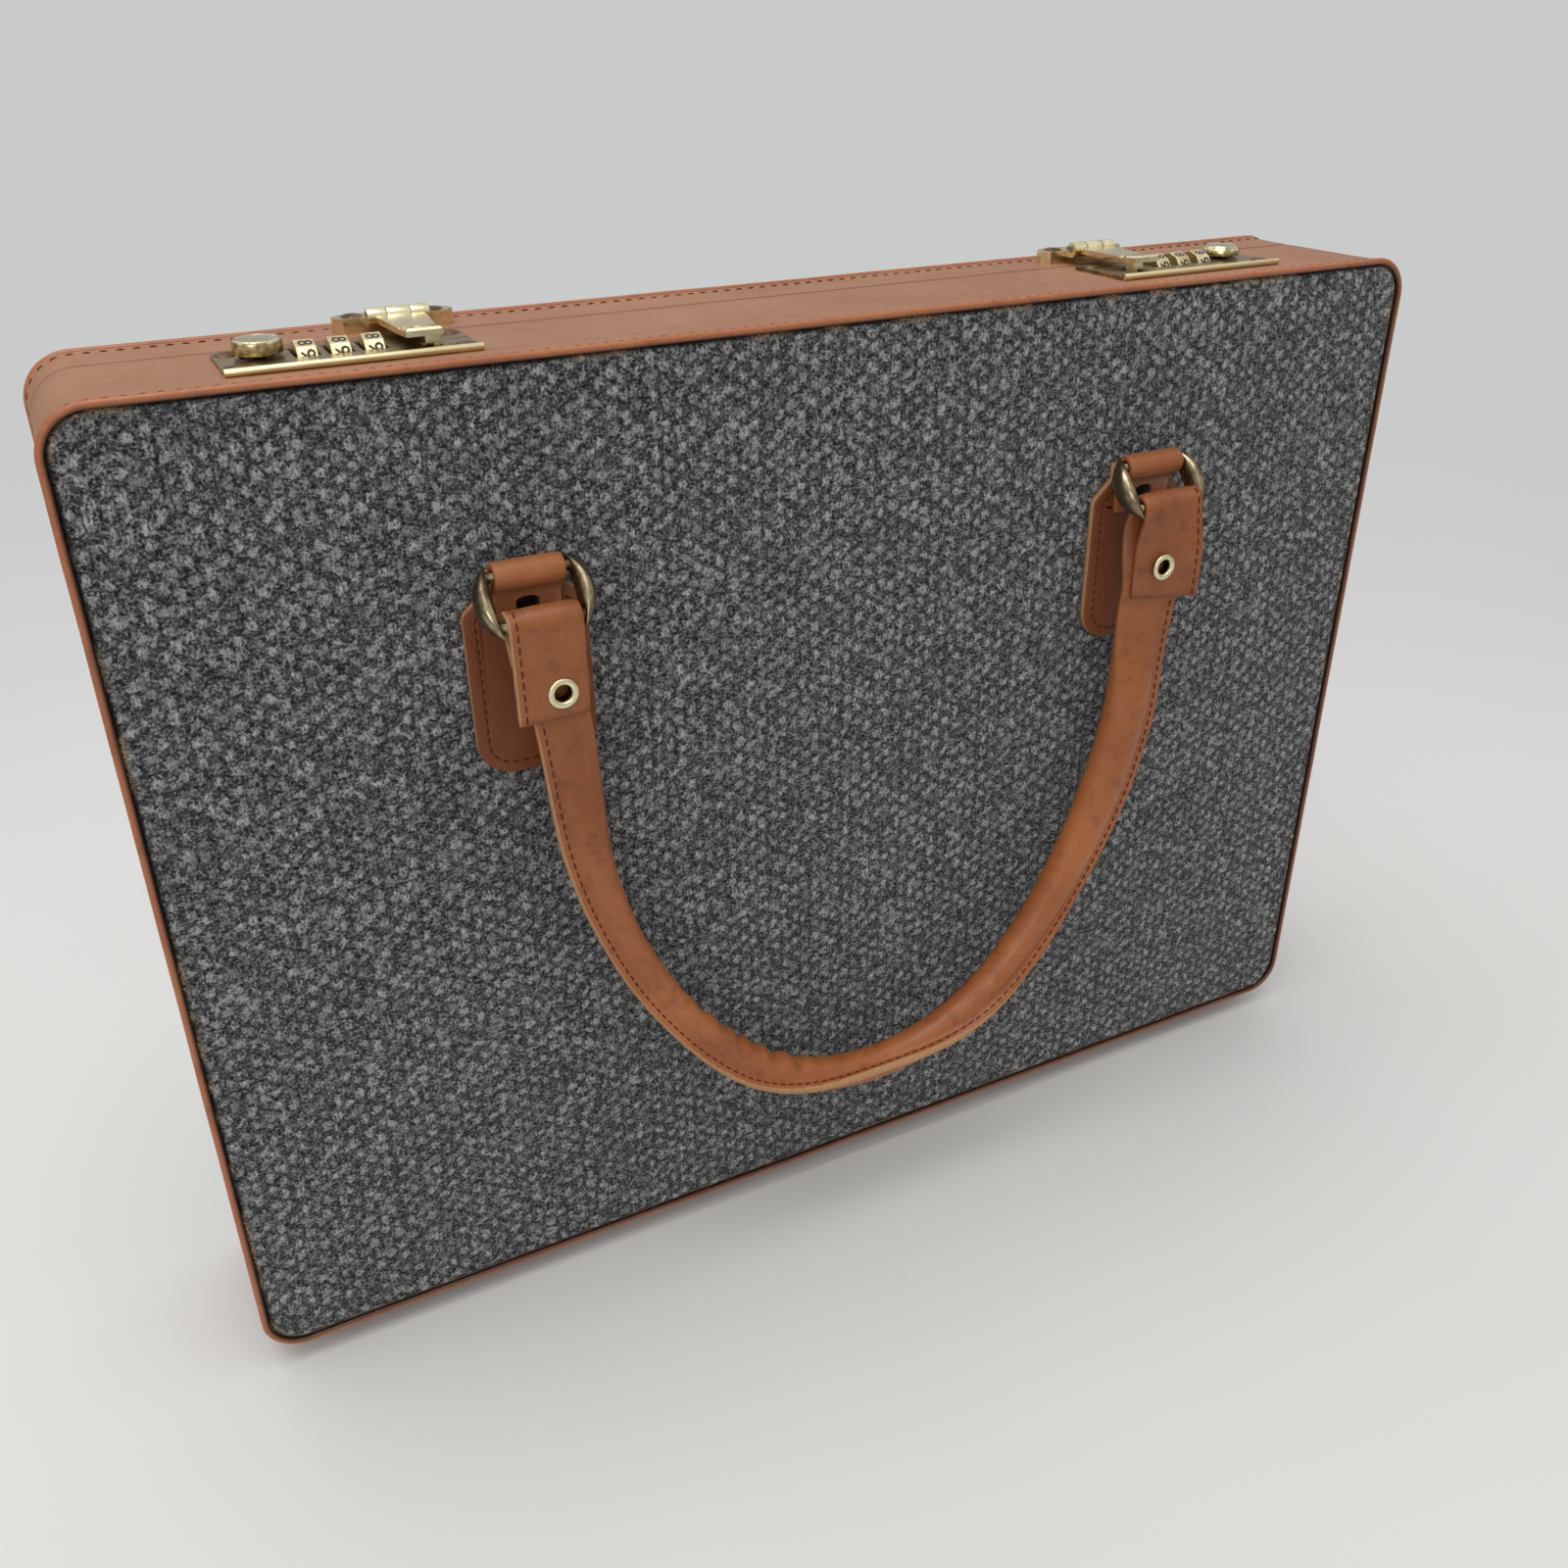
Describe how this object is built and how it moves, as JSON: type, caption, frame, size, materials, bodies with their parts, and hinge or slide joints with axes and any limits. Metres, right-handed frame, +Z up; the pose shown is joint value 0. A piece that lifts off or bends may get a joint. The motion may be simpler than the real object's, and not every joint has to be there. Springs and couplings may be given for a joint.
{
  "type": "briefcase",
  "caption": "Hard attache case with tweed faces and tan leather edges, hinged along the bottom, with combination latches on top and a drop handle on each face.",
  "frame": {"origin": "On the floor, below the middle of the standing case", "axes": "+X along the width to the viewer's right, +Y from the front face to the back face, +Z up"},
  "size_m": [0.45, 0.1146, 0.3329],
  "materials": {
    "rim_wood": "plain poplar rim, only seen inside",
    "fibreboard": "pressed board under the cloth",
    "tweed": "coarse woollen weave, charcoal with pale grey nubs",
    "band_leather": "tan leather, semi-gloss, worn edges",
    "lining": "plain brown cotton lining",
    "foot_plastic": "dark brown moulded studs",
    "hinge_brass": "dull stamped brass",
    "steel": "plain steel",
    "rivet_copper": "dark coppery brown rivet heads",
    "plate_brass": "dull antique brass with a bright bead",
    "knob_brass": "worn plated brass with facets",
    "hasp_brass": "bright polished brass",
    "dial_brass": "pale brass wheels with engraved numerals",
    "tab_leather": "brown leather with a pale cut edge",
    "ring_bronze": "antique bronze",
    "handle_leather": "orange-tan leather rolled round a cord",
    "handle_cord": "twisted cord core",
    "eyelet_brass": "pale brass eyelets"
  },
  "bodies": {
    "case_body": {"body_rim": "rim_wood", "body_board": "fibreboard", "body_tweed": "tweed", "body_band": "band_leather", "body_piping": "band_leather", "body_lining": "lining", "body_feet": "foot_plastic", "body_hinge_leaves": "hinge_brass", "bottom_hinge_pins": "steel", "body_rivets": "rivet_copper", "latch_plate_left": "plate_brass", "latch_plate_right": "plate_brass", "lock_case_left": "steel", "lock_case_right": "steel", "release_spring_left": "steel", "release_spring_right": "steel", "dial_spindles": "steel", "front_tab_left": "tab_leather", "front_tab_right": "tab_leather", "front_tab_rivets": "rivet_copper"},
    "lid": {"lid_rim": "rim_wood", "lid_board": "fibreboard", "lid_tweed": "tweed", "lid_band": "band_leather", "lid_piping": "band_leather", "lid_lining": "lining", "lid_feet": "foot_plastic", "lid_hinge_leaves": "hinge_brass", "lid_rivets": "rivet_copper", "bracket_left": "hasp_brass", "bracket_right": "hasp_brass", "hasp_pins": "steel", "back_tab_left": "tab_leather", "back_tab_right": "tab_leather", "back_tab_rivets": "rivet_copper"},
    "hasp_left": {"hasp_left": "hasp_brass"},
    "release_left": {"knob_left": "knob_brass", "bolt_left": "steel"},
    "dial_left_1": {"dial_left_1": "dial_brass"},
    "dial_left_2": {"dial_left_2": "dial_brass"},
    "dial_left_3": {"dial_left_3": "dial_brass"},
    "hasp_right": {"hasp_right": "hasp_brass"},
    "release_right": {"knob_right": "knob_brass", "bolt_right": "steel"},
    "dial_right_1": {"dial_right_1": "dial_brass"},
    "dial_right_2": {"dial_right_2": "dial_brass"},
    "dial_right_3": {"dial_right_3": "dial_brass"},
    "front_ring_left": {"front_ring_left": "ring_bronze"},
    "front_ring_right": {"front_ring_right": "ring_bronze"},
    "front_handle": {"front_handle": "handle_leather", "front_handle_core": "handle_cord", "front_eyelets": "eyelet_brass"},
    "back_ring_left": {"back_ring_left": "ring_bronze"},
    "back_ring_right": {"back_ring_right": "ring_bronze"},
    "back_handle": {"back_handle": "handle_leather", "back_handle_core": "handle_cord", "back_eyelets": "eyelet_brass"}
  },
  "joints": [
    {"name": "lid_hinge", "type": "hinge", "parent": "case_body", "child": "lid", "pos_m": [0, 0.0135, 0.0062], "axis": [-1, 0, 0], "range_deg": [0, 95]},
    {"name": "hasp_left_swing", "type": "hinge", "parent": "lid", "child": "hasp_left", "pos_m": [-0.124, 0.015, 0.3304], "axis": [-1, 0, 0], "range_deg": [-5, 100]},
    {"name": "release_left_slide", "type": "slide", "parent": "case_body", "child": "release_left", "axis": [-1, 0, 0], "range_m": [-0.0018, 0.003], "deforming": ["release_spring_left"]},
    {"name": "dial_left_1_spin", "type": "hinge", "parent": "case_body", "child": "dial_left_1", "pos_m": [-0.1542, -0.0045, 0.3234], "axis": [1, 0, 0], "continuous": true},
    {"name": "dial_left_2_spin", "type": "hinge", "parent": "case_body", "child": "dial_left_2", "pos_m": [-0.1453, -0.0045, 0.3234], "axis": [1, 0, 0], "continuous": true},
    {"name": "dial_left_3_spin", "type": "hinge", "parent": "case_body", "child": "dial_left_3", "pos_m": [-0.1364, -0.0045, 0.3234], "axis": [1, 0, 0], "continuous": true},
    {"name": "hasp_right_swing", "type": "hinge", "parent": "lid", "child": "hasp_right", "pos_m": [0.121, 0.015, 0.3304], "axis": [-1, 0, 0], "range_deg": [-5, 100]},
    {"name": "release_right_slide", "type": "slide", "parent": "case_body", "child": "release_right", "axis": [1, 0, 0], "range_m": [-0.0018, 0.003], "deforming": ["release_spring_right"]},
    {"name": "dial_right_1_spin", "type": "hinge", "parent": "case_body", "child": "dial_right_1", "pos_m": [0.1512, -0.0045, 0.3234], "axis": [1, 0, 0], "continuous": true},
    {"name": "dial_right_2_spin", "type": "hinge", "parent": "case_body", "child": "dial_right_2", "pos_m": [0.1423, -0.0045, 0.3234], "axis": [1, 0, 0], "continuous": true},
    {"name": "dial_right_3_spin", "type": "hinge", "parent": "case_body", "child": "dial_right_3", "pos_m": [0.1334, -0.0045, 0.3234], "axis": [1, 0, 0], "continuous": true},
    {"name": "front_ring_left_swing", "type": "hinge", "parent": "case_body", "child": "front_ring_left", "pos_m": [-0.11, -0.0405, 0.2688], "axis": [-1, 0, 0], "range_deg": [0, 120]},
    {"name": "front_ring_right_swing", "type": "hinge", "parent": "case_body", "child": "front_ring_right", "pos_m": [0.11, -0.0405, 0.2688], "axis": [-1, 0, 0], "range_deg": [0, 120]},
    {"name": "front_handle_swing", "type": "hinge", "parent": "front_ring_left", "child": "front_handle", "pos_m": [0, -0.051, 0.25767], "axis": [-1, 0, 0], "range_deg": [0, 50]},
    {"name": "back_ring_left_swing", "type": "hinge", "parent": "lid", "child": "back_ring_left", "pos_m": [-0.11, 0.0405, 0.2688], "axis": [1, 0, 0], "range_deg": [0, 120]},
    {"name": "back_ring_right_swing", "type": "hinge", "parent": "lid", "child": "back_ring_right", "pos_m": [0.11, 0.0405, 0.2688], "axis": [1, 0, 0], "range_deg": [0, 120]},
    {"name": "back_handle_swing", "type": "hinge", "parent": "back_ring_left", "child": "back_handle", "pos_m": [0, 0.051, 0.25767], "axis": [1, 0, 0], "range_deg": [0, 50]}
  ],
  "couplings": [
    {"joint": "front_ring_right_swing", "follows": "front_ring_left_swing", "ratio": 1},
    {"joint": "back_ring_right_swing", "follows": "back_ring_left_swing", "ratio": 1}
  ]
}
